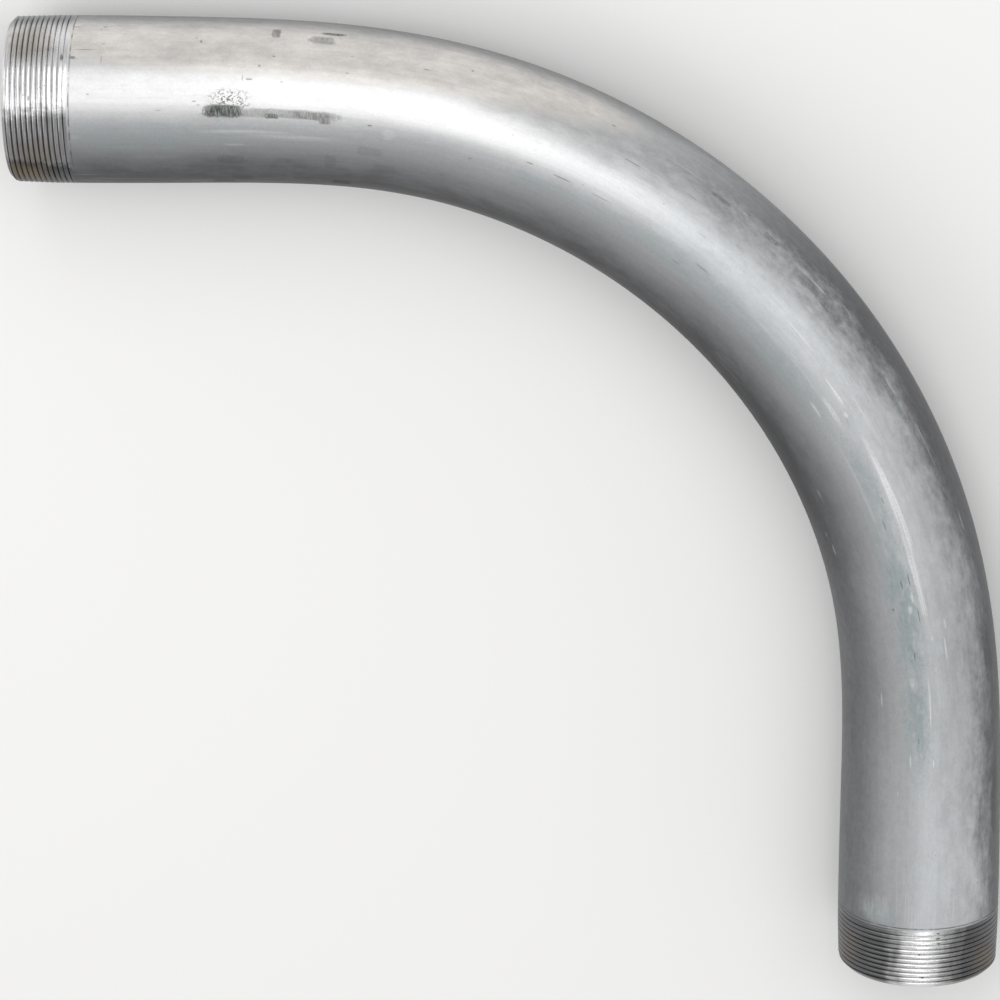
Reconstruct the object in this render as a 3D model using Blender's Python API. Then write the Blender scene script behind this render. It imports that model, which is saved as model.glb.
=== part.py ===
"""Quarter-turn elbow of rigid metal conduit: one bent tube with a thread land at each end.

All sizes are in metres. The elbow lies on its side: +Z is up, one leg runs out along -X and the other along -Y,
and the origin is under the middle of its outline, on the surface that it lies on. The fine thread isn't cut here:
each end has the tapered land, the outer chamfer and the reamed mouth of the blank that it is cut into.
"""

import math

import bmesh
import bpy

# Tube of trade size 3 1/2
OUTSIDE_DIAMETER = 0.1016
WALL = 0.00546

# Bend, measured along the centre of the tube and from it
BEND_ANGLE = math.radians(90)
BEND_RADIUS = 0.381
STRAIGHT_LENGTH = 0.0825  # from an end face to where the bend starts to ease in
EASING_LENGTH = 0.186  # over which the curvature grows from nothing to the full bend
FLATTENING = 0.056  # share of the width, in the plane of the bend, that bending takes away
FLATTENING_LEAD = 0.041  # how far it reaches back up each straight
FLATTENING_RUN = 0.244  # length over which it grows to its full amount
WALL_SHIFT = 0.0006  # what bending takes from the wall outside the bend and adds to it inside

# Ends
LAND_LENGTH = 0.0256
LAND_TAPER = 1 / 16  # on the diameter
REAMING = 0.0008  # round the mouth of the bore, so that no edge cuts the cables
END_RING = 0.00146  # width of the flat ring between the reaming and the outer chamfer

# Fineness of the mesh
SIDES = 48
DIVISIONS = 50
WALK_STEP = 0.001  # step in which the centre line is followed

ZINC_COLOUR = (0.56, 0.57, 0.58, 1.0)
ZINC_ROUGHNESS = 0.38
SHARP_EDGE = math.radians(30)

RADIUS = OUTSIDE_DIAMETER / 2
BORE_RADIUS = RADIUS - WALL
LAND_START = RADIUS - LAND_LENGTH * LAND_TAPER / 2
CHAMFER = LAND_START - BORE_RADIUS - REAMING - END_RING
BEND_LENGTH = BEND_ANGLE * BEND_RADIUS + EASING_LENGTH
TUBE_LENGTH = BEND_LENGTH + 2 * STRAIGHT_LENGTH


def clear_scene():
    for item in list(bpy.data.objects):
        bpy.data.objects.remove(item, do_unlink=True)


def heading(into_bend):
    """How far the tube has turned, in radians, at a distance into the bend."""
    if into_bend > BEND_LENGTH / 2:
        return BEND_ANGLE - heading(BEND_LENGTH - into_bend)
    eased = min(max(into_bend / EASING_LENGTH, 0.0), 1.0)
    turned_while_easing = EASING_LENGTH / BEND_RADIUS * (eased**3 - eased**4 / 2)
    return turned_while_easing + max(into_bend - EASING_LENGTH, 0.0) / BEND_RADIUS


def centre_at(distance):
    """Centre of the tube at a distance from its first end, which is at (0, 0) and runs along +X."""
    steps = max(1, math.ceil(distance / WALK_STEP))
    step = distance / steps
    x = y = 0.0
    for i in range(steps):
        turned = heading((i + 0.5) * step - STRAIGHT_LENGTH)
        x += step * math.cos(turned)
        y -= step * math.sin(turned)
    return x, y


def bending_at(distance):
    """How much of the full flattening the section has there, from 0 on the straights to 1 in the bend."""
    into_bend = min(distance, TUBE_LENGTH - distance) - STRAIGHT_LENGTH
    share = min(max((into_bend + FLATTENING_LEAD) / FLATTENING_RUN, 0.0), 1.0)
    return share * share * (3 - 2 * share)


def stations(shaped_end, radius):
    """(distance, radius) pairs along the tube: a shaped end, the plain stretch, then the same end mirrored."""
    spacing = (TUBE_LENGTH - 2 * LAND_LENGTH) / DIVISIONS
    plain = [(LAND_LENGTH + i * spacing, radius) for i in range(DIVISIONS + 1)]
    mirrored = [(TUBE_LENGTH - distance, end_radius) for distance, end_radius in reversed(shaped_end)]
    return shaped_end + plain + mirrored


def outside():
    """The end's chamfer and tapered land, then the full diameter."""
    behind_chamfer = LAND_START + CHAMFER * LAND_TAPER / 2
    return stations([(0.0, LAND_START - CHAMFER), (CHAMFER, behind_chamfer)], RADIUS)


def bore():
    """The reamed mouth, then the plain bore."""
    return stations([(0.0, BORE_RADIUS + REAMING), (REAMING, BORE_RADIUS)], BORE_RADIUS)


def ring(mesh, distance, radius, shift):
    """One closed loop of the section. Where the tube is bent, shift moves it away from the bend's centre."""
    x, y = centre_at(distance)
    turned = heading(distance - STRAIGHT_LENGTH)
    bending = bending_at(distance)
    width = radius * (1 - FLATTENING * bending)
    loop = []
    for i in range(SIDES):
        angle = 2 * math.pi * i / SIDES
        outwards = width * math.cos(angle) + shift * bending
        point = (x + outwards * math.sin(turned), y + outwards * math.cos(turned), radius * math.sin(angle))
        loop.append(mesh.verts.new(point))
    return loop


def skin_wall(mesh):
    """Closes the wall: along the outside, over the far end face, back through the bore and over the first face."""
    loops = [ring(mesh, distance, radius, 0.0) for distance, radius in outside()]
    loops += [ring(mesh, distance, radius, WALL_SHIFT) for distance, radius in reversed(bore())]
    for near, far in zip(loops, loops[1:] + loops[:1]):
        for i in range(SIDES):
            j = (i + 1) % SIDES
            mesh.faces.new((near[i], near[j], far[j], far[i]))
    bmesh.ops.recalc_face_normals(mesh, faces=mesh.faces)


def lay_on_surface(mesh):
    """Puts the middle of the outline over the origin, with the tube's lowest line at height 0."""
    xs = [vertex.co.x for vertex in mesh.verts]
    ys = [vertex.co.y for vertex in mesh.verts]
    to_origin = (-(min(xs) + max(xs)) / 2, -(min(ys) + max(ys)) / 2, RADIUS)
    bmesh.ops.translate(mesh, verts=mesh.verts, vec=to_origin)


def zinc():
    material = bpy.data.materials.new("galvanised_steel")
    material.use_nodes = True
    shader = material.node_tree.nodes["Principled BSDF"]
    shader.inputs["Base Color"].default_value = ZINC_COLOUR
    shader.inputs["Roughness"].default_value = ZINC_ROUGHNESS
    shader.inputs["Metallic"].default_value = 1.0
    return material


def conduit_elbow():
    mesh = bmesh.new()
    skin_wall(mesh)
    lay_on_surface(mesh)
    data = bpy.data.meshes.new("conduit_elbow")
    mesh.to_mesh(data)
    mesh.free()
    data.shade_smooth()
    data.set_sharp_from_angle(angle=SHARP_EDGE)
    data.materials.append(zinc())
    tube = bpy.data.objects.new("conduit_elbow", data)
    bpy.context.scene.collection.objects.link(tube)


def main():
    clear_scene()
    conduit_elbow()


main()
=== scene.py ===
"""Looks of a rigid conduit elbow: galvanised tube with cut taper threads, on a pale studio floor.

The tube is one Geometry Nodes tree. It walks the bend's centre line, wraps grids round it for the
outside, the threads, the rims and the bore, and welds them. Every size is in metres, in the frame's own
axes: the elbow lies on the floor, one leg runs out along -X and the other along -Y.
"""

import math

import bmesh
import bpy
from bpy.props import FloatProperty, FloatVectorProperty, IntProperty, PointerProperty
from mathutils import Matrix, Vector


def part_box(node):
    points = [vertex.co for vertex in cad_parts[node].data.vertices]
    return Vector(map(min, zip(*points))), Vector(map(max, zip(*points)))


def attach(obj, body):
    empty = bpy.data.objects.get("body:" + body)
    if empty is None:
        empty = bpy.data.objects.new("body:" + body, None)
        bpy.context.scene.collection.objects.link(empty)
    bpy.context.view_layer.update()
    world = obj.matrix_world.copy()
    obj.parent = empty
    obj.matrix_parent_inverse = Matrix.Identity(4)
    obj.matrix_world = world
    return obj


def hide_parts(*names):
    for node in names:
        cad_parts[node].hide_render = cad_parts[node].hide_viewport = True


bl_info = {
    "name": "Rigid Conduit Elbow",
    "version": (1, 0, 0),
    "blender": (4, 5, 0),
    "location": "3D View > Sidebar > Conduit",
    "description": "Galvanised quarter-turn conduit elbow with cut taper threads, in a plain studio",
    "category": "Add Mesh",
}

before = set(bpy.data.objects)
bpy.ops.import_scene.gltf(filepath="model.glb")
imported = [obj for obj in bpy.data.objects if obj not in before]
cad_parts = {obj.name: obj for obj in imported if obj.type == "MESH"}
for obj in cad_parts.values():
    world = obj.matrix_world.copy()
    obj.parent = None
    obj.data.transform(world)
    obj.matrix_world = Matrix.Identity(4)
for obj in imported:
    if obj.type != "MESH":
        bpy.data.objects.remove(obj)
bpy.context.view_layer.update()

NODE = "conduit_elbow"
LOW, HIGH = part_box(NODE)


class Wire:
    """An output socket of a node tree. Python's operators on it add the Math nodes they stand for."""

    def __init__(self, nodes, socket):
        self.nodes = nodes
        self.socket = socket

    def math(self, operation, *values):
        return self.nodes.add("ShaderNodeMath", {"operation": operation}, dict(enumerate((self, *values))))

    def __add__(self, other):
        return self.math("ADD", other)

    def __sub__(self, other):
        return self.math("SUBTRACT", other)

    def __rsub__(self, other):
        return self.nodes.number(other).math("SUBTRACT", self)

    def __mul__(self, other):
        return self.math("MULTIPLY", other)

    def __truediv__(self, other):
        return self.math("DIVIDE", other)

    def __pow__(self, other):
        return self.math("POWER", other)

    __radd__ = __add__
    __rmul__ = __mul__

    def least(self, other):
        return self.math("MINIMUM", other)

    def most(self, other):
        return self.math("MAXIMUM", other)

    def ramp(self, start, end):
        """0 up to start, 1 from end on, and smooth between them."""
        values = {"Value": self, "From Min": start, "From Max": end}
        return self.nodes.add("ShaderNodeMapRange", {"interpolation_type": "SMOOTHSTEP"}, values)

    def also(self, name):
        """Another output of the same node."""
        return Wire(self.nodes, self.socket.node.outputs[name])


class Nodes:
    """A node tree under construction."""

    def __init__(self, tree):
        self.tree = tree

    def add(self, kind, settings=None, inputs=None, output=0):
        """Adds any node: its settings first, then a value or a Wire for each socket, by name or number."""
        node = self.tree.nodes.new(kind)
        for name, value in (settings or {}).items():
            setattr(node, name, value)
        for key, value in (inputs or {}).items():
            if isinstance(value, Wire):
                self.tree.links.new(value.socket, node.inputs[key])
            else:
                node.inputs[key].default_value = value
        return Wire(self, node.outputs[output])

    def number(self, value):
        """A Value node."""
        wire = self.add("ShaderNodeValue")
        wire.socket.default_value = value
        return wire

    def vector(self, x, y, z):
        return self.add("ShaderNodeCombineXYZ", None, {"X": x, "Y": y, "Z": z})

    def vector_math(self, operation, *values, **named):
        inputs = {**dict(enumerate(values)), **named}
        return self.add("ShaderNodeVectorMath", {"operation": operation}, inputs)

    def scaled(self, vector, factor):
        return self.vector_math("SCALE", vector, Scale=factor)

    def length(self, vector):
        return self.vector_math("LENGTH", vector).also("Value")

    def colour(self, first, second, factor, blend="MIX"):
        """first where factor is 0, second (or second blended with first) where it is 1."""
        settings = {"data_type": "RGBA", "blend_type": blend}
        return self.add("ShaderNodeMix", settings, {0: factor, 6: first, 7: second}, output=2)


class ConduitSizes(bpy.types.PropertyGroup):
    """Sizes of the elbow. Each is an input of the same name on its Geometry Nodes tree."""

    wall: FloatProperty(
        name="Wall", description="Thickness of the tube's wall", default=0.00546, subtype="DISTANCE")
    bend_angle: FloatProperty(
        name="Bend Angle", description="How far the tube turns", default=math.radians(90), subtype="ANGLE")
    bend_radius: FloatProperty(
        name="Bend Radius", description="From the bend's centre to the centre of the tube", default=0.381,
        subtype="DISTANCE")
    straight: FloatProperty(
        name="Straight", description="From an end face to where the bend starts", default=0.0825,
        subtype="DISTANCE")
    easing: FloatProperty(
        name="Easing", description="Length over which the curvature grows to the full bend", default=0.186,
        subtype="DISTANCE")
    flattening: FloatProperty(
        name="Flattening", description="Share of the width that bending takes away", default=0.056,
        subtype="FACTOR")
    flattening_lead: FloatProperty(
        name="Flattening Lead", description="How far the flattening reaches up the straights", default=0.041,
        subtype="DISTANCE")
    flattening_run: FloatProperty(
        name="Flattening Run", description="Length over which the flattening grows", default=0.244,
        subtype="DISTANCE")
    wall_shift: FloatProperty(
        name="Wall Shift", description="What bending moves the bore outwards by", default=0.0006,
        subtype="DISTANCE")
    pitch: FloatProperty(
        name="Pitch", description="From one crest of the thread to the next", default=0.003175,
        subtype="DISTANCE")
    thread_length: FloatProperty(
        name="Thread Length", description="From the end face to the last trace of the thread", default=0.0415,
        subtype="DISTANCE")
    thread_depth: FloatProperty(
        name="Thread Depth", description="From the crests down to the roots", default=0.0013,
        subtype="DISTANCE")
    runout: FloatProperty(
        name="Run-out", description="Length over which the thread fades out", default=0.0045,
        subtype="DISTANCE")
    land: FloatProperty(
        name="Land", description="Length of the taper, to where it meets the full diameter", default=0.0256,
        subtype="DISTANCE")
    taper: FloatProperty(
        name="Taper", description="Taper of the thread on the diameter", default=1 / 16, subtype="FACTOR")
    rim_radius: FloatProperty(
        name="Rim Radius", description="Outer radius of the end face, inside its chamfer", default=0.0474,
        subtype="DISTANCE")
    reaming: FloatProperty(
        name="Reaming", description="Width of the bevel round the mouth of the bore", default=0.0008,
        subtype="DISTANCE")
    rounding: FloatProperty(
        name="Rounding", description="How far the end face's edges are rounded back", default=0.0003,
        subtype="DISTANCE")
    around: IntProperty(
        name="Segments Around", description="Faces round the tube", default=180, subtype="UNSIGNED")
    per_pitch: IntProperty(
        name="Rows per Pitch", description="Rows of faces in one turn of the thread", default=8,
        subtype="UNSIGNED")
    row_length: FloatProperty(
        name="Row Length", description="Length of a face on the plain tube", default=0.006,
        subtype="DISTANCE")


class FinishLooks(bpy.types.PropertyGroup):
    """Colours and roughness of the finish."""

    zinc: FloatVectorProperty(
        name="Zinc", description="Clean galvanised surface", default=(0.56, 0.575, 0.59), size=3,
        subtype="COLOR")
    # Painted shade: a dark colour laid on the tube's sides and underneath, and on the threads' sides
    side_shade: FloatVectorProperty(
        name="Side Shade", description="Painted shade on the sides and the underneath",
        default=(0.078, 0.079, 0.082), size=3, subtype="COLOR")
    # Painted warm reflection along the near leg, also used as a warm tint over its top and outer side
    warm_reflection: FloatVectorProperty(
        name="Warm Reflection", description="Painted warm reflection along one leg", default=(0.75, 0.72, 0.685), size=3,
        subtype="COLOR")
    patina: FloatVectorProperty(
        name="Patina", description="Blue-green bloom beside the scratches", default=(0.33, 0.385, 0.39),
        size=3, subtype="COLOR")
    smudge: FloatVectorProperty(
        name="Smudge", description="Dark rubbed-on dirt", default=(0.085, 0.088, 0.08), size=3,
        subtype="COLOR")
    rubbed: FloatVectorProperty(
        name="Rubbed Zinc", description="Metal bared by rubbing and scratching", default=(0.86, 0.87, 0.88),
        size=3, subtype="COLOR")
    steel: FloatVectorProperty(
        name="Cut Steel", description="Bare metal of the threads", default=(0.77, 0.77, 0.775), size=3,
        subtype="COLOR")
    stain: FloatVectorProperty(
        name="Stain", description="Brown film of dried cutting oil", default=(0.20, 0.16, 0.105), size=3,
        subtype="COLOR")
    # Painted shade in the roots of the threads
    root_shade: FloatVectorProperty(
        name="Root Shade", description="Painted shade in the roots of the threads", default=(0.05, 0.048, 0.044), size=3,
        subtype="COLOR")
    nick: FloatVectorProperty(
        name="Nicks", description="Dark specks on the cut metal", default=(0.07, 0.07, 0.065), size=3,
        subtype="COLOR")
    bore: FloatVectorProperty(
        name="Bore", description="Inside of the tube", default=(0.20, 0.20, 0.195), size=3, subtype="COLOR")
    roughness: FloatProperty(
        name="Roughness", description="Roughness of the clean zinc", default=0.40, min=0.0, max=1.0,
        subtype="FACTOR")


class StudioSettings(bpy.types.PropertyGroup):
    """Floor, lights and camera."""

    floor: FloatVectorProperty(
        name="Floor", description="Colour of the floor", default=(0.89, 0.885, 0.88), size=3, subtype="COLOR")
    key: FloatProperty(
        name="Key", description="Power of the large soft light overhead", default=17.0, subtype="POWER")
    strip: FloatProperty(
        name="Strip", description="Power of the narrow light beyond the open end", default=2.0,
        subtype="POWER")
    fill: FloatProperty(
        name="Fill", description="Power of the soft light on the outer side", default=5.5, subtype="POWER")
    side: FloatProperty(
        name="Side", description="Power of the low light on the inner side", default=10.0, subtype="POWER")
    sky: FloatProperty(
        name="Sky", description="Brightness of the room round the floor", default=0.65, subtype="FACTOR")
    lens: FloatProperty(
        name="Lens", description="Focal length in millimetres", default=168.4, unit="CAMERA")


def own_settings(group):
    """Names of the settings in a group, without the two that Blender adds to each."""
    return [name for name in group.bl_rna.properties.keys() if name not in ("rna_type", "name")]


def size_inputs(sizes):
    """(name, socket type, value) of each size, as inputs of the tree."""
    sockets = {"INT": "NodeSocketInt", "FLOAT": "NodeSocketFloat"}
    settings = [(sizes.bl_rna.properties[key], getattr(sizes, key)) for key in own_settings(sizes)]
    return [(setting.name, sockets[setting.type], value) for setting, value in settings]


WALK_STEPS = 960
RIM_ROWS = 7
BORE_ROWS = 0.6  # share of the rows that the plain outside would have over the same length
WELD = 0.00002
SLACK = 0.0001  # of a row, so that a point that starts one isn't counted to the row before
CREST_WEAR = 2.2  # 1 is a plain round crest, and more is a wider, flatter one over a narrower root
RUNOUT_LIFT = 1.3  # of the depth, so that the roots come up to the outside before the thread's end


class ElbowTree:
    """The Geometry Nodes tree that makes the tube. Its inputs are a (name, socket type, value) each."""

    def __init__(self, inputs):
        self.tree = bpy.data.node_groups.new("conduit_elbow", "GeometryNodeTree")
        for name, kind, value in inputs:
            socket = self.tree.interface.new_socket(name=name, in_out="INPUT", socket_type=kind)
            socket.default_value = value
        self.tree.interface.new_socket(name="Geometry", in_out="OUTPUT", socket_type="NodeSocketGeometry")
        self.nodes = Nodes(self.tree)
        self.group = self.tree.nodes.new("NodeGroupInput")
        self.bend_length = self.size("Bend Angle") * self.size("Bend Radius") + self.size("Easing")
        self.length = self.bend_length + self.size("Straight") * 2
        self.bore_radius = self.size("Outside Radius") - self.size("Wall")
        self.path = self.centre_line()
        parts = [self.thread(far=False), self.plain_outside(), self.thread(far=True)]
        parts += [self.rim(far=False), self.rim(far=True), self.bore()]
        self.weld(parts)

    def size(self, name):
        return Wire(self.nodes, self.group.outputs[name])

    def heading(self, into):
        """How far the tube has turned at a distance into the bend."""
        easing = self.size("Easing")
        second_half = into.math("GREATER_THAN", self.bend_length * 0.5)
        near = into.least(self.bend_length - into).most(0.0)
        eased = (near / easing).least(1.0)
        turned = (eased**3 - eased**4 * 0.5) * easing + (near - easing).most(0.0)
        turned = turned / self.size("Bend Radius")
        return turned + second_half * (self.size("Bend Angle") - turned * 2)

    def centre_line(self):
        """A curve along the middle of the tube, walked in equal steps from the first end face."""
        nodes = self.nodes
        line = nodes.add("GeometryNodeMeshLine", None, {"Count": WALK_STEPS + 1, "Offset": (0.0, 0.0, 0.0)})
        index = nodes.add("GeometryNodeInputIndex")
        step = self.length / WALK_STEPS
        turned = self.heading((index - 0.5) * step - self.size("Straight"))
        taken = step * index.math("GREATER_THAN", 0.5)
        stride = nodes.vector(taken * turned.math("COSINE"), taken * turned.math("SINE") * -1, 0.0)
        walked = nodes.add("GeometryNodeAccumulateField", {"data_type": "FLOAT_VECTOR"}, {0: stride})
        place = nodes.vector_math("ADD", walked, self.size("Start"))
        moved = nodes.add("GeometryNodeSetPosition", None, {"Geometry": line, "Position": place})
        return nodes.add("GeometryNodeMeshToCurve", None, {0: moved})

    def bending(self, distance):
        """Share of the full flattening at a distance along the tube."""
        near = distance.least(self.length - distance) - self.size("Straight") + self.size("Flattening Lead")
        return near.ramp(0.0, self.size("Flattening Run"))

    def grid(self, rows):
        """A flat grid whose rows go along the tube, with the row number and the angle round it as fields."""
        nodes = self.nodes
        columns = self.size("Segments Around") + 1
        grid = nodes.add("GeometryNodeMeshGrid", None, {"Vertices X": rows, "Vertices Y": columns})
        index = nodes.add("GeometryNodeInputIndex")
        row = (index / columns + SLACK).math("FLOOR")
        angle = (index - row * columns) / self.size("Segments Around") * math.tau
        return grid, row, angle

    def wrap(self, grid, distance, radius, angle, shift=0.0, groove=0.0):
        """Wraps a grid round the path, and stores where each point is on the tube as if it were straight."""
        nodes = self.nodes
        values = {"Curves": self.path, "Length": distance}
        at = nodes.add("GeometryNodeSampleCurve", {"mode": "LENGTH"}, values, output="Position")
        outwards = nodes.vector_math("CROSS_PRODUCT", (0.0, 0.0, 1.0), at.also("Tangent"))
        bent = self.bending(distance)
        across = radius * angle.math("COSINE")
        height = radius * angle.math("SINE")
        offset = across * (1 - self.size("Flattening") * bent) + bent * shift
        place = nodes.vector_math("ADD", at, nodes.scaled(outwards, offset))
        place = nodes.vector_math("ADD", place, nodes.vector(0.0, 0.0, height))
        wrapped = nodes.add("GeometryNodeSetPosition", None, {"Geometry": grid, "Position": place})
        wrapped = self.store(wrapped, "pipe", "FLOAT_VECTOR", nodes.vector(distance, across, height))
        return self.store(wrapped, "groove", "FLOAT", groove)

    def store(self, geometry, name, kind, value):
        settings = {"data_type": kind, "domain": "POINT"}
        values = {"Geometry": geometry, "Name": name, "Value": value}
        return self.nodes.add("GeometryNodeStoreNamedAttribute", settings, values)

    def thread(self, far):
        """Rows that follow the helix, so that crests and roots are whole edges, cut square at both ends."""
        pitch = self.size("Pitch")
        per_pitch = self.size("Rows per Pitch")
        zone = self.size("Thread Length")
        rounding = self.size("Rounding")
        rows = (zone / pitch + 2) * per_pitch + 1
        grid, row, angle = self.grid(rows.math("CEIL"))
        wound = (row / per_pitch - 1) * pitch + angle * (pitch / math.tau)
        if far:
            wound = wound.most(0.0).least(zone - rounding)
            from_face = zone - wound
            distance = self.length - from_face
        else:
            wound = wound.most(rounding).least(zone)
            from_face = wound
            distance = wound
        phase = wound / pitch - angle / math.tau
        full = self.size("Outside Radius")
        cone = full - (self.size("Land") - from_face) * self.size("Taper") / 2
        ridge = (phase * math.pi).math("COSINE").math("ABSOLUTE")
        bump = 1 - (1 - ridge) ** CREST_WEAR
        depth = self.size("Thread Depth")
        lift = from_face.ramp(zone - self.size("Run-out"), zone) * depth * RUNOUT_LIFT
        radius = (cone - (1 - bump) * depth + lift).least(full)
        cut = (full.least(cone) - radius) / depth
        chamfer = self.size("Rim Radius") + from_face - rounding
        return self.wrap(grid, distance, radius.least(chamfer), angle, groove=cut)

    def plain_outside(self):
        """The outside between the threads."""
        zone = self.size("Thread Length")
        run = self.length - zone * 2
        count = (run / self.size("Row Length")).math("CEIL")
        grid, row, angle = self.grid(count + 1)
        return self.wrap(grid, zone + row / count * run, self.size("Outside Radius"), angle)

    def bore(self):
        """The inside of the wall between the reamed mouths."""
        run = self.length - self.size("Reaming") * 2
        count = (run / self.size("Row Length") * BORE_ROWS).math("CEIL")
        grid, row, angle = self.grid(count + 1)
        distance = self.size("Reaming") + row / count * run
        return self.wrap(grid, distance, self.bore_radius, angle, shift=self.size("Wall Shift"))

    def rim(self, far):
        """An end face with rounded edges, then the bevel down to the bore."""
        grid, row, angle = self.grid(RIM_ROWS + 1)
        mouth = self.bore_radius + self.size("Reaming")
        share = row / (RIM_ROWS - 1)
        face_radius = self.size("Rim Radius") + (mouth - self.size("Rim Radius")) * share
        set_back = self.size("Rounding") * (share * 2 - 1) ** 4
        in_bore = row.math("GREATER_THAN", RIM_ROWS - 0.5)
        radius = face_radius + in_bore * (self.bore_radius - face_radius)
        from_face = set_back + in_bore * (self.size("Reaming") - set_back)
        distance = self.length - from_face if far else from_face
        return self.wrap(grid, distance, radius, angle)

    def weld(self, parts):
        """Joins the parts into one closed wall, in the tube's material."""
        join = self.tree.nodes.new("GeometryNodeJoinGeometry")
        for part in reversed(parts):
            self.tree.links.new(part.socket, join.inputs[0])
        joined = Wire(self.nodes, join.outputs[0])
        welded = self.nodes.add("GeometryNodeMergeByDistance", None, {0: joined, "Distance": WELD})
        whole = self.nodes.add("GeometryNodeRealizeInstances", None, {0: welded})
        values = {0: whole, "Material": self.size("Material")}
        finished = self.nodes.add("GeometryNodeSetMaterial", None, values)
        output = self.tree.nodes.new("NodeGroupOutput")
        self.tree.links.new(finished.socket, output.inputs[0])


def new_material(name):
    material = bpy.data.materials.new(name)
    material.use_nodes = True
    nodes = Nodes(material.node_tree)
    return material, nodes, material.node_tree.nodes["Principled BSDF"]


def plug(nodes, shader, values):
    """Links or sets the shader's sockets."""
    for name, value in values.items():
        if isinstance(value, Wire):
            nodes.tree.links.new(value.socket, shader.inputs[name])
        else:
            shader.inputs[name].default_value = value


def rgba(colour):
    return (*colour, 1.0)


# Marks on the surface, read off the photo: where each is along the tube in metres and round it in
# degrees (0 on the outer side of the bend, 90 on top), how long and wide it is in metres, and how strong.
SMUDGES = (
    (0.1335, 83.4, 0.0235, 0.0076, 1.00),
    (0.1720, 84.2, 0.0580, 0.0056, 0.50),
    (0.1630, 86.0, 0.0090, 0.0036, 0.85),
    (0.1850, 84.4, 0.0230, 0.0050, 0.70),
    (0.1945, 86.0, 0.0065, 0.0066, 0.70),
    (0.1622, 20.5, 0.0046, 0.0085, 0.60),
    (0.1880, 25.0, 0.0150, 0.0072, 0.50),
    (0.1945, 16.8, 0.0130, 0.0028, 0.80),
    (0.2055, 146.0, 0.0125, 0.0066, 0.90),
    (0.1430, 144.0, 0.0130, 0.0070, 0.45),
    (0.1310, 152.0, 0.0130, 0.0060, 0.50),
    (0.1810, 143.0, 0.0120, 0.0050, 0.35),
    (0.1370, 121.5, 0.0160, 0.0070, 0.32),
    (0.1700, 121.0, 0.0120, 0.0040, 0.20),
    (0.1990, 120.5, 0.0070, 0.0120, 0.22),
    (0.2230, 107.0, 0.0160, 0.0060, 0.20),
    (0.2340, 121.0, 0.0150, 0.0070, 0.18),
    (0.4610, 37.0, 0.0110, 0.0040, 0.45),
    (0.4260, 38.0, 0.0130, 0.0030, 0.40),
    (0.4920, 42.0, 0.0200, 0.0060, 0.30),
    (0.5120, 43.5, 0.0260, 0.0046, 0.36),
    (0.5700, 42.0, 0.0380, 0.0040, 0.30),
    (0.5150, 152.0, 0.0220, 0.0060, 0.50),
    (0.7400, 28.0, 0.0500, 0.0100, 0.30),
    (0.8300, 25.0, 0.0450, 0.0080, 0.30),
    (0.2800, -62.0, 0.0500, 0.0100, 0.45),
    (0.6100, -75.0, 0.0700, 0.0120, 0.40),
    (0.4400, -120.0, 0.0300, 0.0090, 0.45),
)
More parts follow.
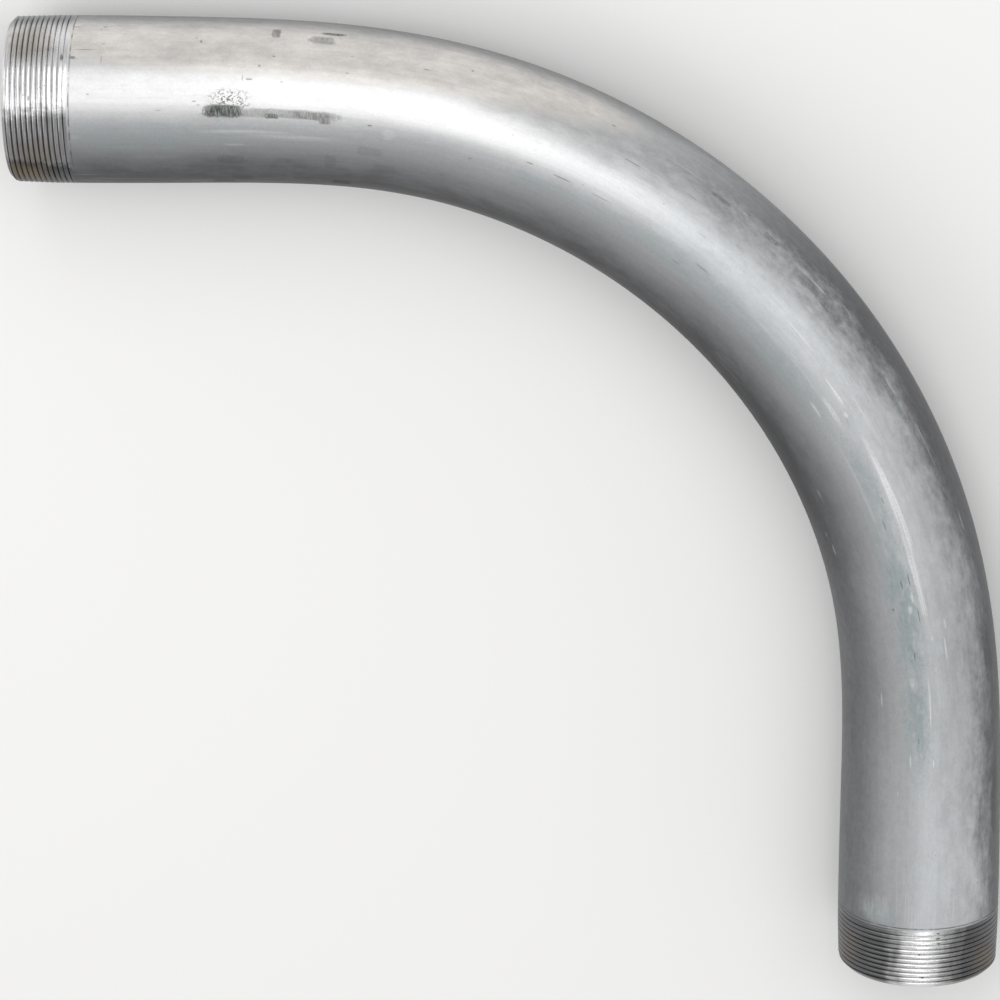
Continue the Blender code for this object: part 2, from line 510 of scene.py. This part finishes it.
TICKS = (
    (0.0600, 17.5, 0.0022, 0.0010, 0.9),
    (0.0580, 21.5, 0.0010, 0.0010, 0.7),
    (0.0605, 35.5, 0.0030, 0.0006, 0.5),
    (0.0600, 48.0, 0.0009, 0.0060, 0.3),
    (0.0490, 40.6, 0.0130, 0.0004, 0.7),
    (0.0750, 40.6, 0.0050, 0.0004, 0.4),
    (0.0430, 18.0, 0.0050, 0.0006, 0.8),
    (0.0425, 47.0, 0.0040, 0.0022, 0.7),
    (0.0440, 48.0, 0.0060, 0.0005, 0.5),
    (0.0526, 73.0, 0.0018, 0.0009, 0.6),
    (0.0950, 83.5, 0.0030, 0.0008, 0.35),
    (0.1165, 77.0, 0.0026, 0.0010, 0.6),
    (0.1190, 79.5, 0.0030, 0.0008, 0.5),
    (0.1190, 32.0, 0.0014, 0.0022, 0.6),
    (0.1160, 28.5, 0.0014, 0.0010, 0.4),
    (0.1490, 61.0, 0.0036, 0.0010, 0.7),
    (0.1450, 60.0, 0.0009, 0.0040, 0.4),
    (0.1545, 51.0, 0.0016, 0.0016, 0.45),
    (0.1625, 43.0, 0.0016, 0.0010, 0.7),
    (0.1680, 62.0, 0.0020, 0.0012, 0.35),
    (0.2050, 52.0, 0.0018, 0.0007, 0.5),
    (0.2065, 38.0, 0.0020, 0.0008, 0.4),
    (0.2215, 87.3, 0.0026, 0.0009, 0.85),
    (0.2480, 39.5, 0.0032, 0.0008, 0.55),
    (0.2726, 31.0, 0.0012, 0.0016, 0.5),
    (0.2840, 96.0, 0.0028, 0.0007, 0.6),
    (0.2700, 115.0, 0.0032, 0.0007, 0.45),
    (0.3190, 85.0, 0.0040, 0.0006, 0.7),
    (0.3400, 86.0, 0.0110, 0.0007, 0.65),
    (0.3660, 86.4, 0.0140, 0.0006, 0.50),
    (0.3545, 32.5, 0.0026, 0.0010, 0.7),
    (0.3720, 53.0, 0.0110, 0.0006, 0.6),
    (0.4000, 53.0, 0.0050, 0.0005, 0.4),
    (0.4110, 51.0, 0.0070, 0.0005, 0.5),
    (0.4270, 69.5, 0.0070, 0.0005, 0.4),
    (0.4400, 88.2, 0.0090, 0.0008, 0.50),
    (0.4250, 96.5, 0.0060, 0.0006, 0.5),
    (0.3700, 145.0, 0.0030, 0.0030, 0.5),
    (0.3860, 144.0, 0.0045, 0.0020, 0.5),
    (0.6780, 92.0, 0.0060, 0.0010, 0.6),
    (0.7260, 92.0, 0.0060, 0.0010, 0.6),
    (0.6935, 102.0, 0.0020, 0.0010, 0.6),
    (0.7820, 93.0, 0.0040, 0.0008, 0.5),
    (0.6230, 85.5, 0.0050, 0.0008, 0.6),
    (0.6380, 91.0, 0.0070, 0.0008, 0.5),
    (0.6760, 86.0, 0.0080, 0.0007, 0.7),
    (0.7000, 84.5, 0.0110, 0.0007, 0.6),
    (0.9118, 77.0, 0.0010, 0.0022, 1.0),
    (0.9152, 77.0, 0.0013, 0.0030, 1.0),
    (0.9186, 76.5, 0.0010, 0.0026, 0.9),
    (0.9260, 90.0, 0.0010, 0.0018, 0.9),
    (0.9420, 87.5, 0.0010, 0.0022, 0.9),
    (0.0170, 76.0, 0.0008, 0.0030, 0.8),
    (0.0360, 47.0, 0.0016, 0.0040, 0.8),
    (0.1395, -40.0, 0.0060, 0.0008, 0.6),
    (0.3300, -58.0, 0.0090, 0.0007, 0.6),
    (0.5600, -95.0, 0.0120, 0.0008, 0.6),
    (0.7600, -50.0, 0.0060, 0.0010, 0.6),
)
RUBS = (
    (0.1500, 98.0, 0.0500, 0.0030, 0.40),
    (0.1750, 101.0, 0.0500, 0.0030, 0.40),
    (0.1420, 108.0, 0.0120, 0.0016, 0.40),
    (0.0440, 103.0, 0.0060, 0.0020, 0.30),
    (0.2335, 92.0, 0.0066, 0.0064, 0.32),
    (0.4410, 35.0, 0.0035, 0.0012, 0.80),
    (0.4000, 34.0, 0.0220, 0.0012, 0.35),
    (0.4980, 37.0, 0.0140, 0.0012, 0.60),
    (0.5180, 30.0, 0.0140, 0.0010, 0.50),
    (0.5030, 55.0, 0.0060, 0.0014, 0.60),
    (0.5050, 89.0, 0.0700, 0.0018, 0.22),
    (0.5520, 78.5, 0.0140, 0.0022, 0.85),
    (0.5650, 80.5, 0.0034, 0.0024, 0.60),
    (0.5600, 87.5, 0.0220, 0.0028, 0.60),
    (0.5520, 97.0, 0.0120, 0.0020, 0.55),
    (0.6150, 96.5, 0.0700, 0.0014, 0.20),
    (0.6250, 78.5, 0.0760, 0.0050, 1.00),
    (0.6280, 78.0, 0.0500, 0.0030, 1.00),
    (0.6700, 80.0, 0.0620, 0.0040, 0.90),
    (0.5490, 78.0, 0.0180, 0.0012, 0.90),
    (0.5900, 78.5, 0.0200, 0.0012, 0.80),
    (0.6950, 90.0, 0.0060, 0.0036, 0.60),
    (0.6880, 86.5, 0.0060, 0.0020, 0.50),
    (0.7090, 66.5, 0.0060, 0.0014, 0.85),
    (0.7240, 68.5, 0.0120, 0.0012, 0.90),
    (0.7160, 77.5, 0.0030, 0.0018, 0.60),
    (0.7360, 77.5, 0.0030, 0.0016, 0.60),
    (0.7500, 77.0, 0.0300, 0.0007, 0.60),
    (0.7550, 84.0, 0.0320, 0.0012, 0.70),
    (0.7430, 96.0, 0.0060, 0.0030, 0.30),
    (0.7560, 120.0, 0.0110, 0.0016, 0.55),
    (0.7970, 82.5, 0.0050, 0.0010, 0.85),
    (0.7950, 99.0, 0.0080, 0.0014, 0.60),
    (0.8180, 108.0, 0.0040, 0.0012, 0.60),
    (0.6500, 140.0, 0.0070, 0.0012, 0.70),
    (0.6380, 142.5, 0.0040, 0.0012, 0.50),
    (0.6070, 131.0, 0.0050, 0.0012, 0.45),
    (0.6050, 35.0, 0.0240, 0.0016, 0.45),
    (0.5680, 38.0, 0.0120, 0.0026, 0.50),
    (0.6570, 28.0, 0.0120, 0.0022, 0.35),
    (0.8950, 66.0, 0.0200, 0.0012, 0.35),
    (0.8790, 68.0, 0.0050, 0.0040, 0.30),
    (0.8980, 125.0, 0.0160, 0.0200, 0.22),
    (0.2000, -35.0, 0.0400, 0.0030, 0.70),
    (0.5300, -52.0, 0.0800, 0.0040, 0.70),
    (0.7200, -100.0, 0.0500, 0.0050, 0.60),
)
STAINS = (
    (0.0140, 34.0, 0.0260, 0.0240, 0.58),
    (0.0180, 118.0, 0.0240, 0.0200, 0.40),
    (0.0120, 138.0, 0.0240, 0.0200, 0.70),
    (0.9380, 34.0, 0.0200, 0.0200, 0.40),
    (0.9330, 150.0, 0.0200, 0.0200, 0.30),
)
BLOOMS = (
    (0.0900, 106.0, 0.0900, 0.0180, 0.45),
    (0.1000, 95.0, 0.1000, 0.0060, 0.35),
    (0.1330, 85.0, 0.0220, 0.0100, 0.60),
    (0.3300, 96.0, 0.0500, 0.0080, 0.45),
    (0.4300, 95.0, 0.1400, 0.0140, 0.45),
    (0.5150, 97.0, 0.0900, 0.0160, 0.50),
    (0.6150, 90.0, 0.0700, 0.0100, 0.55),
    (0.6900, 94.0, 0.1300, 0.0180, 0.80),
    (0.7700, 94.0, 0.0700, 0.0160, 0.75),
    (0.5700, 43.0, 0.0500, 0.0050, 0.50),
    (0.9010, 122.0, 0.0120, 0.0260, 0.55),
)
# Painted warm reflection on the near leg's outer side, laid out like the marks
WARM_REFLECTION = (0.180, 24.0, 0.370, 0.060, 1.0)
CRUMBS = (0.1370, 77.5, 0.0260, 0.0150, 0.75)


class Sheet:
    """The tube's surface laid flat: x runs along it and y round it, in metres. On the outer side y is 0."""

    def __init__(self, nodes, radius, length):
        self.nodes = nodes
        self.radius = radius
        self.pipe = nodes.add("ShaderNodeAttribute", {"attribute_name": "pipe"}, output="Vector")
        self.along = nodes.add("ShaderNodeSeparateXYZ", None, {0: self.pipe})
        self.across = self.along.also("Y")
        self.height = self.along.also("Z")
        self.from_face = self.along.least(length - self.along)
        self.angle = self.height.math("ARCTAN2", self.across) * math.degrees(1)
        self.flat = nodes.vector(self.along, self.angle * (radius * math.radians(1)), 0.0)

    def spot(self, mark, fray, edge, square=False):
        """The mark's strength on a round or squarish spot, and 0 outside it. Fray eats into its outline."""
        along, angle, length, width, strength = mark
        nodes = self.nodes
        side = math.radians(angle) * self.radius
        grow = (2 / length, 2 / width, 0.0)
        shift = (-along * grow[0], -side * grow[1], 0.0)
        centred = nodes.vector_math("MULTIPLY_ADD", self.flat, grow, shift)
        if square:
            centred = nodes.vector_math("MULTIPLY", centred, centred)
        away = nodes.length(centred) + fray
        values = {"Value": away, "From Min": 1 + edge, "From Max": 1 - edge, "To Max": strength}
        return nodes.add("ShaderNodeMapRange", {"interpolation_type": "SMOOTHSTEP"}, values)

    def spots(self, marks, fray, edge=0.25, square=False):
        """All the marks of a list on one mask."""
        mask = self.spot(marks[0], fray, edge, square)
        for mark in marks[1:]:
            mask = mask.most(self.spot(mark, fray, edge, square))
        return mask

    def grain(self, scale, along=1.0, across=1.0, detail=2.0, roughness=0.5):
        """Noise of so many cells a metre, drawn out along or across the tube where that share is under 1."""
        stretched = self.nodes.vector_math("MULTIPLY", self.pipe, (along, across, across))
        values = {"Vector": stretched, "Scale": scale, "Detail": detail, "Roughness": roughness}
        return self.nodes.add("ShaderNodeTexNoise", None, values)


# Where the finish changes, from a start to an end: metres along the tube, or degrees round it
# Painted warm sheen on the near leg's top and outer side: where it ends along the tube and round it
WARM_REFLECTION_LEG_END = (0.28, 0.44)
# Painted shade: darker on the outer side past the warm reflection, on the inner side and underneath
WARM_REFLECTION_LEG_TOP = (98.0, 80.0)
OUTER_SHADE_START = (0.30, 0.53)
OUTER_SHADE = (23.0, 61.0)
INNER_SHADE = (72.0, 150.0)
THINNER_INNER_SHADE = (0.58, 0.74)
EVENER_EDGES = (0.52, 0.68)
# Painted light: the lower leg is painted lighter over this stretch
PALER_LEG = (0.74, 0.88)
# Painted shade on the threads' sides: where the far thread begins, and where the shade starts and ends round
# each thread
FAR_THREAD = (0.50, 0.60)
NEAR_UPPER_SHADE = (77.0, 92.0)
NEAR_INNER_SHADE = (100.0, 134.0)
FAR_OUTER_SHADE = (52.0, 82.0)
FAR_INNER_SHADE = (96.0, 122.0)
# Painted shade underneath, over this range of height
UNDERSIDE = (-0.030, 0.034)  # height over the tube's axis

# Sizes at the ends and in the wall, in metres
BARE_METAL_END = (0.0026, 0.0014)  # back from the last trace of the thread
SCORE_BACK = 0.0006  # the fine dark line where the die stopped, back from the same place
SCORE_WANDER = 0.0012
SCORE_WIDTH = (0.0002, 0.0006)
BORE_DEPTH = (0.0053, 0.0047)  # below the outside, where the look of the bore begins
BUMP_HEIGHT = 0.0003


class WeatheredZinc:
    """The tube's material: weathered hot-dip zinc with its marks, and stained bare metal in the threads."""

    def __init__(self, looks, radius, length, thread_length):
        self.material, self.nodes, shader = new_material("weathered_zinc")
        self.looks = looks
        self.radius = radius
        self.thread_length = thread_length
        self.sheet = Sheet(self.nodes, radius, length)
        self.lay_grains()
        colour = self.bore(self.cut_ends(self.wear(self.skin())))
        values = {"Base Color": colour, "Metallic": 1.0, "Roughness": self.roughness(), "Normal": self.bump()}
        plug(self.nodes, shader, values)

    def over(self, colour, name, mask):
        """The colour with one of the settings' colours laid over it."""
        return self.nodes.colour(colour, rgba(getattr(self.looks, name)), mask)

    def shaded(self, colour, shade):
        """The colour made lighter or darker."""
        return self.nodes.colour(colour, self.nodes.vector(shade, shade, shade), 1.0, blend="MULTIPLY")

    def lay_grains(self):
        """The noises that skins and marks share, from the widest to the finest."""
        sheet = self.sheet
        self.cloud = sheet.grain(26.0, along=0.5, detail=3.0)
        self.mottle = sheet.grain(120.0, along=0.45, detail=5.0, roughness=0.62)
        self.patch = sheet.grain(260.0, along=0.7, detail=3.0, roughness=0.65)
        self.drawn = sheet.grain(420.0, along=0.03, detail=2.0)
        self.speck = sheet.grain(800.0, along=0.8, detail=2.0, roughness=0.65)
        self.lathe = sheet.grain(900.0, across=0.05, detail=2.0, roughness=0.6)
        self.hatch = sheet.grain(1000.0, across=0.22, detail=3.0, roughness=0.7)
        self.scratch = sheet.grain(1000.0, along=0.03, detail=1.0)
        self.fray = (self.mottle - 0.5) * 3.2 + (self.speck - 0.5) * 1.2

    def skin(self):
        """Clean zinc with painted shade on the sides and underneath, a painted warm reflection on the near
        leg, the blue-green blooms, and the lower leg painted lighter.
        """
        sheet = self.sheet
        wander = (self.cloud - 0.5) * 26 + (self.mottle - 0.5) * 22
        patchy = 18 - sheet.along.ramp(*EVENER_EDGES) * 12
        self.turned = sheet.angle + wander + (self.patch - 0.5) * patchy
        self.past_warm_reflection = (sheet.along + wander * 0.0009).ramp(*OUTER_SHADE_START)
        self.below = 1 - sheet.height.ramp(*UNDERSIDE)
        inner = self.turned.ramp(*INNER_SHADE) * (1 - sheet.along.ramp(*THINNER_INNER_SHADE) * 0.2)
        outer = 1 - self.turned.ramp(*OUTER_SHADE)
        # Painted shade on the sides and underneath
        self.side_shade = inner.most(outer * self.past_warm_reflection * 0.84).most(self.below)

        # Painted warm sheen: the near leg's top and outer side tinted warmer and lighter
        warm_sheen = (1 - sheet.along.ramp(*WARM_REFLECTION_LEG_END)) * self.turned.ramp(*WARM_REFLECTION_LEG_TOP)
        colour = self.over(rgba(self.looks.zinc), "warm_reflection", warm_sheen * 0.32)
        colour = self.over(colour, "side_shade", self.side_shade)
        # Painted warm reflection on the near leg's outer side
        self.warm_reflection = sheet.spot(WARM_REFLECTION, self.fray * 0.10, 0.10)
        reflection_share = self.warm_reflection * (0.55 + self.mottle * 0.6) * self.below.ramp(0.5, 0.0)
        colour = self.over(colour, "warm_reflection", reflection_share)
        self.bloom = sheet.spots(BLOOMS, self.fray * 0.5, 0.5) * self.mottle.ramp(0.36, 0.56)
        colour = self.over(colour, "patina", self.bloom)
        shade = 1 + (self.cloud - 0.5) * 0.30 + (self.mottle - 0.5) * 0.45
        shade = shade + (self.drawn - 0.5) * 0.14 + (self.speck - 0.5) * 0.22
        shade = shade + (self.patch - 0.5) * (0.20 + self.side_shade * 0.4)
        # Painted light: the lower leg painted lighter
        return self.shaded(colour, shade * (1 + sheet.along.ramp(*PALER_LEG) * 0.12))

    def wear(self, colour):
        """Bright rubs and stray scratches, then smears, crumbs and flecks of dirt."""
        sheet = self.sheet
        jagged = self.fray * 0.50 + (self.hatch - 0.5) * 1.6
        strokes = 0.15 + self.scratch.ramp(0.38, 0.60) * 0.50 + self.hatch.ramp(0.40, 0.60) * 0.35
        wisps = sheet.spots(RUBS, jagged, 0.4) * strokes
        stray = self.scratch.ramp(0.56, 0.68) * sheet.grain(30.0, along=0.3).ramp(0.56, 0.70) * 0.20
        self.rubs = wisps.most(stray)
        colour = self.over(colour, "rubbed", self.rubs * (1 - self.side_shade * 0.55))

        hatched = self.fray * 0.50 + (self.hatch - 0.5) * 1.8
        strokes = 0.30 + self.hatch.ramp(0.35, 0.62) * 0.45 + self.speck * 0.45
        smears = sheet.spots(SMUDGES, hatched, 0.35, square=True) * strokes
        crumbs = sheet.spot(CRUMBS, self.fray * 0.5, 0.5) * self.speck.ramp(0.50, 0.58)
        pits = self.nodes.add("ShaderNodeTexVoronoi", None, {"Vector": sheet.pipe, "Scale": 130.0})
        flecks = (1 - (pits + self.speck * 0.06).ramp(0.05, 0.11)) * self.cloud.ramp(0.56, 0.64) * 0.5
        self.dirt = smears.most(crumbs).most(flecks)
        return self.over(colour, "smudge", self.dirt)

    def cut_ends(self, colour):
        """Bare and stained metal of the threads, with painted shade on their sides, underneath and in their
        roots, the line where they end, and the ticks.
        """
        sheet = self.sheet
        from_face = sheet.from_face
        turned = self.turned
        start, end = (self.thread_length - back for back in BARE_METAL_END)
        self.cut = 1 - from_face.ramp(start, end)
        self.oil = sheet.spots(STAINS, self.fray * 0.5, 0.7)
        # Painted shade on the threads: on the near thread's upper and inner sides, on both sides of the far
        # thread leaving a lighter band along its top, and underneath
        far_end = sheet.along.ramp(*FAR_THREAD)
        thread_shade = (turned.ramp(*NEAR_UPPER_SHADE) * 0.6).most(turned.ramp(*NEAR_INNER_SHADE)) * (1 - far_end)
        sides = (1 - turned.ramp(*FAR_OUTER_SHADE)).most(turned.ramp(*FAR_INNER_SHADE))
        thread_shade = thread_shade.most(far_end * sides * 0.84).most(self.below.ramp(0.05, 0.45) * 0.7)
        steel = self.over(rgba(self.looks.steel), "side_shade", thread_shade * 1.08)
        steel = self.over(steel, "stain", self.oil)
        steel = self.shaded(steel, 0.55 + self.lathe * 0.9)
        # Painted shade in the roots of the threads, broken up by noise
        groove = self.nodes.add("ShaderNodeAttribute", {"attribute_name": "groove"}, output="Fac")
        root = groove.ramp(0.55, 1.0) * (self.cloud * 0.5 + self.lathe * 1.3 - 0.55)
        steel = self.over(steel, "root_shade", root)
        steel = self.over(steel, "nick", self.speck.ramp(0.62, 0.70) * 0.5)
        colour = self.nodes.colour(colour, steel, self.cut)

        stop = self.thread_length - SCORE_BACK
        off_stop = (from_face + (self.mottle - 0.5) * SCORE_WANDER - stop).math("ABSOLUTE")
        score = (1 - off_stop.ramp(*SCORE_WIDTH)) * self.mottle.ramp(0.35, 0.55) * 0.7
        ticks = sheet.spots(TICKS, self.fray * 0.40) * (0.40 + self.speck * 0.80)
        return self.over(colour, "smudge", ticks.most(score))

    def bore(self, colour):
        """The duller look inside the tube, told by how far a point is from the axis."""
        ring = self.nodes.vector(0.0, self.sheet.across, self.sheet.height)
        start, end = (self.radius - depth for depth in BORE_DEPTH)
        self.inside = 1 - self.nodes.length(ring).ramp(start, end)
        return self.over(colour, "bore", self.inside * 0.8)

    def roughness(self):
        """Clean zinc is the smoothest of the outside, where the painted shade, the painted warm reflection
        and the blooms are rougher, and the cut metal smoother still.
        """
        rough = self.looks.roughness + self.side_shade * 0.10 + self.warm_reflection * 0.06 + self.bloom * 0.10
        rough = rough + (self.mottle - 0.5) * 0.20 + self.past_warm_reflection * 0.08
        rough = rough + self.dirt * 0.2 - self.rubs * 0.08
        bare = 0.20 + self.oil * 0.10 + self.speck * 0.10 + self.side_shade * 0.15
        return rough + self.cut * (bare - rough) + self.inside * 0.2

    def bump(self):
        """Height comes from few noises, because a Bump node works its height out three times."""
        relief = self.mottle * 0.5 + self.drawn * 0.25 + self.speck * 0.12
        values = {"Strength": 0.35, "Distance": BUMP_HEIGHT, "Height": relief}
        return self.nodes.add("ShaderNodeBump", None, values)


SHARP_EDGE = math.radians(40)


def plain_mesh(tube):
    """Turns the tree's result into a plain mesh with outward faces and sharp roots. Drops the modifier."""
    depsgraph = bpy.context.evaluated_depsgraph_get()
    data = bpy.data.meshes.new_from_object(tube.evaluated_get(depsgraph), depsgraph=depsgraph)
    tube.modifiers.clear()
    tube.data = data
    mesh = bmesh.new()
    mesh.from_mesh(data)
    bmesh.ops.recalc_face_normals(mesh, faces=mesh.faces)
    mesh.to_mesh(data)
    mesh.free()
    data.shade_smooth()
    data.set_sharp_from_angle(angle=SHARP_EDGE)


OUTLINE_TOLERANCE = 0.001


def check_outline(tube):
    """Raises an error where the tube's outline is off the frame's plain elbow."""
    places = [vertex.co for vertex in tube.data.vertices]
    for i, axis in enumerate("XYZ"):
        low = min(place[i] for place in places)
        high = max(place[i] for place in places)
        if max(abs(low - LOW[i]), abs(high - HIGH[i])) > OUTLINE_TOLERANCE:
            raise RuntimeError(f"On {axis} the elbow runs from {low:.4f} to {high:.4f} m, unlike the frame's")


class CONDUIT_OT_elbow(bpy.types.Operator):
    """Adds the galvanised elbow with its threads, in place of the frame's plain one"""

    bl_idname = "conduit.elbow"
    bl_label = "Conduit Elbow"

    def execute(self, context):
        scene = context.scene
        sizes = scene.conduit_sizes
        radius = (HIGH.z - LOW.z) / 2
        length = sizes.bend_angle * sizes.bend_radius + sizes.easing + 2 * sizes.straight
        finish = WeatheredZinc(scene.conduit_looks, radius, length, sizes.thread_length)
        inputs = [
            ("Start", "NodeSocketVector", Vector((LOW.x, HIGH.y - radius, LOW.z + radius))),
            ("Outside Radius", "NodeSocketFloat", radius),
            *size_inputs(sizes),
            ("Material", "NodeSocketMaterial", finish.material),
        ]
        tube = bpy.data.objects.new("threaded_elbow", bpy.data.meshes.new("threaded_elbow"))
        scene.collection.objects.link(tube)
        modifier = tube.modifiers.new("Elbow", "NODES")
        modifier.node_group = ElbowTree(inputs).tree
        values = {name: value for name, kind, value in inputs}
        for item in modifier.node_group.interface.items_tree:
            if item.in_out == "INPUT":
                modifier[item.identifier] = values[item.name]
        plain_mesh(tube)
        check_outline(tube)
        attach(tube, "root")
        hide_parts(NODE)
        return {"FINISHED"}


FLOOR_REACH = 20.0
CAMERA_PLACE = (0.1633, 0.9277, 2.8033)
CAMERA_TURN = (-18.624, 3.454, -0.474)  # degrees
WHITE = (1.0, 1.0, 1.0, 1.0)

# Name of the lamp and of its power in the settings, its place, what it points at, and its size
LAMPS = (
    ("key", (-0.10, 1.27, 2.04), (0.0, 0.0, 0.0), (1.4, 2.4)),
    ("fill", (1.35, 0.75, 2.2), (0.0, 0.0, 0.0), (1.2, 1.2)),
    ("side", (-1.9, -0.1, 1.5), (0.0, 0.0, 0.0), (1.6, 1.6)),
    ("strip", (0.5, -1.28, 2.15), (0.25, -0.28, 0.0), (0.7, 0.45)),
)


def add_floor(scene, colour):
    mesh = bpy.data.meshes.new("floor")
    corners = [(x * FLOOR_REACH, y * FLOOR_REACH, 0.0) for x, y in ((-1, -1), (1, -1), (1, 1), (-1, 1))]
    mesh.from_pydata(corners, [], [(0, 1, 2, 3)])
    floor = bpy.data.objects.new("floor", mesh)
    scene.collection.objects.link(floor)
    material, nodes, shader = new_material("pale_floor")
    plug(nodes, shader, {"Base Color": rgba(colour), "Roughness": 0.9, "Specular IOR Level": 0.1})
    mesh.materials.append(material)


def add_lamp(scene, name, place, target, size, power):
    lamp = bpy.data.lights.new(name, "AREA")
    lamp.shape = "RECTANGLE"
    lamp.size, lamp.size_y = size
    lamp.energy = power
    light = bpy.data.objects.new(name, lamp)
    light.location = place
    light.rotation_euler = (Vector(target) - Vector(place)).to_track_quat("-Z", "Y").to_euler()
    scene.collection.objects.link(light)


def add_camera(scene, lens):
    camera = bpy.data.objects.new("camera", bpy.data.cameras.new("camera"))
    camera.data.lens = lens
    camera.location = CAMERA_PLACE
    camera.rotation_euler = [math.radians(angle) for angle in CAMERA_TURN]
    scene.collection.objects.link(camera)
    scene.camera = camera


def add_sky(scene, strength):
    world = bpy.data.worlds.new("studio")
    world.use_nodes = True
    background = world.node_tree.nodes["Background"]
    background.inputs["Strength"].default_value = strength
    background.inputs["Color"].default_value = WHITE
    scene.world = world


class CONDUIT_OT_studio(bpy.types.Operator):
    """Sets up the pale floor, the soft lights and the camera"""

    bl_idname = "conduit.studio"
    bl_label = "Studio"

    def execute(self, context):
        scene = context.scene
        studio = scene.conduit_studio
        add_floor(scene, studio.floor)
        for name, place, target, size in LAMPS:
            add_lamp(scene, name, place, target, size, getattr(studio, name))
        add_sky(scene, studio.sky)
        add_camera(scene, studio.lens)
        scene.view_settings.view_transform = "Standard"
        return {"FINISHED"}


class CONDUIT_PT_panel(bpy.types.Panel):
    """Lists the pieces and their settings"""

    bl_label = "Conduit Elbow"
    bl_idname = "CONDUIT_PT_panel"
    bl_space_type = "VIEW_3D"
    bl_region_type = "UI"
    bl_category = "Conduit"

    def draw(self, context):
        scene = context.scene
        for operator in (CONDUIT_OT_elbow, CONDUIT_OT_studio):
            self.layout.operator(operator.bl_idname)
        for group in (scene.conduit_sizes, scene.conduit_looks, scene.conduit_studio):
            box = self.layout.box()
            for name in group.bl_rna.properties.keys():
                if name not in ("rna_type", "name"):
                    box.prop(group, name)


CLASSES = (ConduitSizes, FinishLooks, StudioSettings, CONDUIT_OT_elbow, CONDUIT_OT_studio, CONDUIT_PT_panel)


def register():
    for cls in CLASSES:
        bpy.utils.register_class(cls)
    bpy.types.Scene.conduit_sizes = PointerProperty(type=ConduitSizes)
    bpy.types.Scene.conduit_looks = PointerProperty(type=FinishLooks)
    bpy.types.Scene.conduit_studio = PointerProperty(type=StudioSettings)


def unregister():
    del bpy.types.Scene.conduit_studio
    del bpy.types.Scene.conduit_looks
    del bpy.types.Scene.conduit_sizes
    for cls in reversed(CLASSES):
        bpy.utils.unregister_class(cls)


def main():
    register()
    bpy.ops.conduit.elbow()
    bpy.ops.conduit.studio()


if __name__ == "__main__":
    main()
